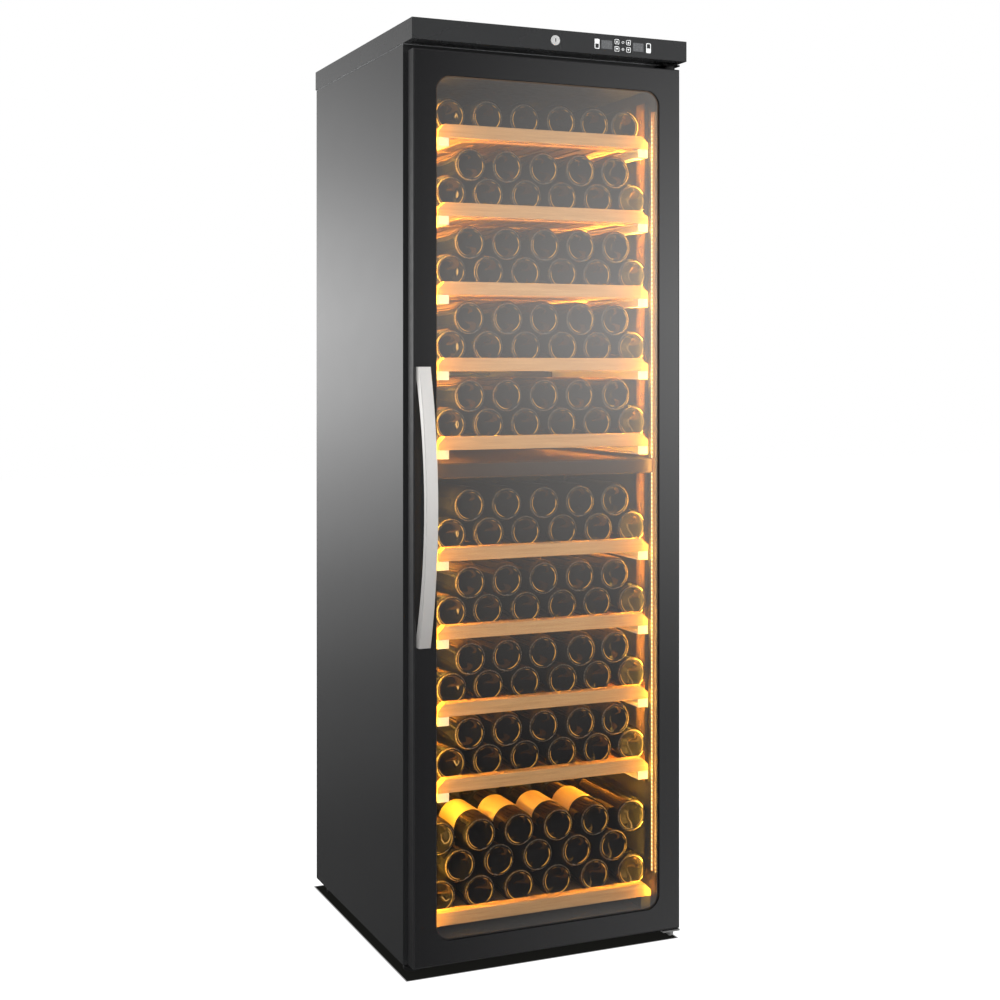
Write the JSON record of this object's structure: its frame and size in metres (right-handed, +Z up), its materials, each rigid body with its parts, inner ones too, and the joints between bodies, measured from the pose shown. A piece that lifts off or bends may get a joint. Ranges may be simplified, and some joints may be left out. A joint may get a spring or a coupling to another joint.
{
  "type": "wine cooler",
  "caption": "Tall free-standing two-zone wine cooler with a glazed hinged door, bow handle, slatted pull-out shelves, side light strips and a top cover with lock and controls.",
  "frame": {"origin": "on the floor, under the middle of the whole object's box", "axes": "+Z up, +X to the right seen from the front, +Y to the back; the door faces -Y"},
  "size_m": [0.595, 0.6894, 1.835],
  "materials": {
    "black_paint": "satin",
    "galvanised_steel": "satin",
    "liner_plastic": "matte",
    "foam": "matte",
    "beech": "satin",
    "clear_glass": "gloss",
    "black_glass_print": "gloss",
    "door_paint": "satin",
    "trim_plastic": "matte",
    "rubber": "matte",
    "stainless": "satin",
    "chrome": "polished",
    "zinc": "satin",
    "aluminium": "satin",
    "led_diffuser": "satin",
    "runner_paint": "satin",
    "duct_plastic": "matte",
    "fan_plastic": "matte",
    "plate_aluminium": "satin",
    "compressor_paint": "satin",
    "condenser_paint": "satin",
    "tray_plastic": "matte",
    "copper": "satin",
    "circuit_board": "satin",
    "display_plastic": "gloss",
    "button_plastic": "satin",
    "nylon": "matte",
    "inlet_plastic": "matte"
  },
  "bodies": {
    "cabinet": {"left_side_panel": "black_paint", "right_side_panel": "black_paint", "back_panel": "galvanised_steel", "base_tray": "galvanised_steel", "top_panel": "galvanised_steel", "front_rails": "black_paint", "inner_liner": "liner_plastic", "foam_insulation": "foam", "top_cover": "black_paint", "zone_divider": "liner_plastic", "shelf_pilasters": "galvanised_steel", "shelf_runners": "runner_paint", "led_channels": "aluminium", "led_diffusers": "led_diffuser", "air_ducts": "duct_plastic", "evaporators": "plate_aluminium", "fan_housings": "fan_plastic", "compressor": "compressor_paint", "compressor_mounts": "rubber", "condenser": "condenser_paint", "drip_tray": "tray_plastic", "refrigerant_pipes": "copper", "control_board": "circuit_board", "display_windows": "display_plastic", "power_inlet": "inlet_plastic", "hinge_brackets": "zinc", "cabinet_screws": "zinc", "lock_body": "chrome"},
    "door": {"door_frame": "door_paint", "door_inner_frame": "trim_plastic", "door_outer_glass": "clear_glass", "door_inner_glass": "clear_glass", "door_glass_border": "black_glass_print", "glazing_spacer": "aluminium", "door_gasket": "rubber", "door_handle": "stainless", "door_hinge_bushes": "nylon"},
    "lock_barrel": {"lock_barrel": "chrome"},
    "upper_fan": {"upper_fan_rotor": "fan_plastic"},
    "lower_fan": {"lower_fan_rotor": "fan_plastic"},
    "front_left_foot": {"front_left_foot": "zinc"},
    "front_right_foot": {"front_right_foot": "zinc"},
    "rear_left_foot": {"rear_left_foot": "zinc"},
    "rear_right_foot": {"rear_right_foot": "zinc"},
    "upper_zone_up_button": {"upper_zone_up_button": "button_plastic"},
    "upper_zone_down_button": {"upper_zone_down_button": "button_plastic"},
    "lower_zone_up_button": {"lower_zone_up_button": "button_plastic"},
    "lower_zone_down_button": {"lower_zone_down_button": "button_plastic"},
    "light_button": {"light_button": "button_plastic"},
    "power_button": {"power_button": "button_plastic"},
    "shelf_1": {"shelf_1": "beech"},
    "shelf_2": {"shelf_2": "beech"},
    "shelf_3": {"shelf_3": "beech"},
    "shelf_4": {"shelf_4": "beech"},
    "shelf_5": {"shelf_5": "beech"},
    "shelf_6": {"shelf_6": "beech"},
    "shelf_7": {"shelf_7": "beech"},
    "shelf_8": {"shelf_8": "beech"},
    "shelf_9": {"shelf_9": "beech"},
    "shelf_10": {"shelf_10": "beech"}
  },
  "joints": [
    {"name": "door_hinge", "type": "hinge", "parent": "cabinet", "child": "door", "pos_m": [0.275, -0.2757, 0.9], "axis": [0, 0, 1], "range_deg": [0, 115]},
    {"name": "lock_turn", "type": "hinge", "parent": "cabinet", "child": "lock_barrel", "pos_m": [0.002, -0.29, 1.814], "axis": [0, -1, 0], "range_deg": [0, 90]},
    {"name": "upper_fan_spin", "type": "hinge", "parent": "cabinet", "child": "upper_fan", "pos_m": [0, 0.245, 1.55], "axis": [0, 1, 0], "continuous": true},
    {"name": "lower_fan_spin", "type": "hinge", "parent": "cabinet", "child": "lower_fan", "pos_m": [0, 0.245, 0.81], "axis": [0, 1, 0], "continuous": true},
    {"name": "upper_zone_up_button_press", "type": "slide", "parent": "cabinet", "child": "upper_zone_up_button", "axis": [0, 1, 0], "range_m": [0, 0.0006], "stiffness_N_per_m": 600},
    {"name": "upper_zone_down_button_press", "type": "slide", "parent": "cabinet", "child": "upper_zone_down_button", "axis": [0, 1, 0], "range_m": [0, 0.0006], "stiffness_N_per_m": 600},
    {"name": "lower_zone_up_button_press", "type": "slide", "parent": "cabinet", "child": "lower_zone_up_button", "axis": [0, 1, 0], "range_m": [0, 0.0006], "stiffness_N_per_m": 600},
    {"name": "lower_zone_down_button_press", "type": "slide", "parent": "cabinet", "child": "lower_zone_down_button", "axis": [0, 1, 0], "range_m": [0, 0.0006], "stiffness_N_per_m": 600},
    {"name": "light_button_press", "type": "slide", "parent": "cabinet", "child": "light_button", "axis": [0, 1, 0], "range_m": [0, 0.0006], "stiffness_N_per_m": 600},
    {"name": "power_button_press", "type": "slide", "parent": "cabinet", "child": "power_button", "axis": [0, 1, 0], "range_m": [0, 0.0006], "stiffness_N_per_m": 600},
    {"name": "front_left_foot_turn", "type": "hinge", "parent": "cabinet", "child": "front_left_foot", "pos_m": [-0.262, -0.21, 0.015], "axis": [0, 0, 1], "continuous": true},
    {"name": "front_right_foot_turn", "type": "hinge", "parent": "cabinet", "child": "front_right_foot", "pos_m": [0.262, -0.21, 0.015], "axis": [0, 0, 1], "continuous": true},
    {"name": "rear_left_foot_turn", "type": "hinge", "parent": "cabinet", "child": "rear_left_foot", "pos_m": [-0.262, 0.29, 0.015], "axis": [0, 0, 1], "continuous": true},
    {"name": "rear_right_foot_turn", "type": "hinge", "parent": "cabinet", "child": "rear_right_foot", "pos_m": [0.262, 0.29, 0.015], "axis": [0, 0, 1], "continuous": true},
    {"name": "shelf_1_slide", "type": "slide", "parent": "cabinet", "child": "shelf_1", "axis": [0, -1, 0], "range_m": [0, 0.022]},
    {"name": "shelf_2_slide", "type": "slide", "parent": "cabinet", "child": "shelf_2", "axis": [0, -1, 0], "range_m": [0, 0.022]},
    {"name": "shelf_3_slide", "type": "slide", "parent": "cabinet", "child": "shelf_3", "axis": [0, -1, 0], "range_m": [0, 0.022]},
    {"name": "shelf_4_slide", "type": "slide", "parent": "cabinet", "child": "shelf_4", "axis": [0, -1, 0], "range_m": [0, 0.022]},
    {"name": "shelf_5_slide", "type": "slide", "parent": "cabinet", "child": "shelf_5", "axis": [0, -1, 0], "range_m": [0, 0.022]},
    {"name": "shelf_6_slide", "type": "slide", "parent": "cabinet", "child": "shelf_6", "axis": [0, -1, 0], "range_m": [0, 0.022]},
    {"name": "shelf_7_slide", "type": "slide", "parent": "cabinet", "child": "shelf_7", "axis": [0, -1, 0], "range_m": [0, 0.022]},
    {"name": "shelf_8_slide", "type": "slide", "parent": "cabinet", "child": "shelf_8", "axis": [0, -1, 0], "range_m": [0, 0.022]},
    {"name": "shelf_9_slide", "type": "slide", "parent": "cabinet", "child": "shelf_9", "axis": [0, -1, 0], "range_m": [0, 0.022]},
    {"name": "shelf_10_slide", "type": "slide", "parent": "cabinet", "child": "shelf_10", "axis": [0, -1, 0], "range_m": [0, 0.022]}
  ]
}
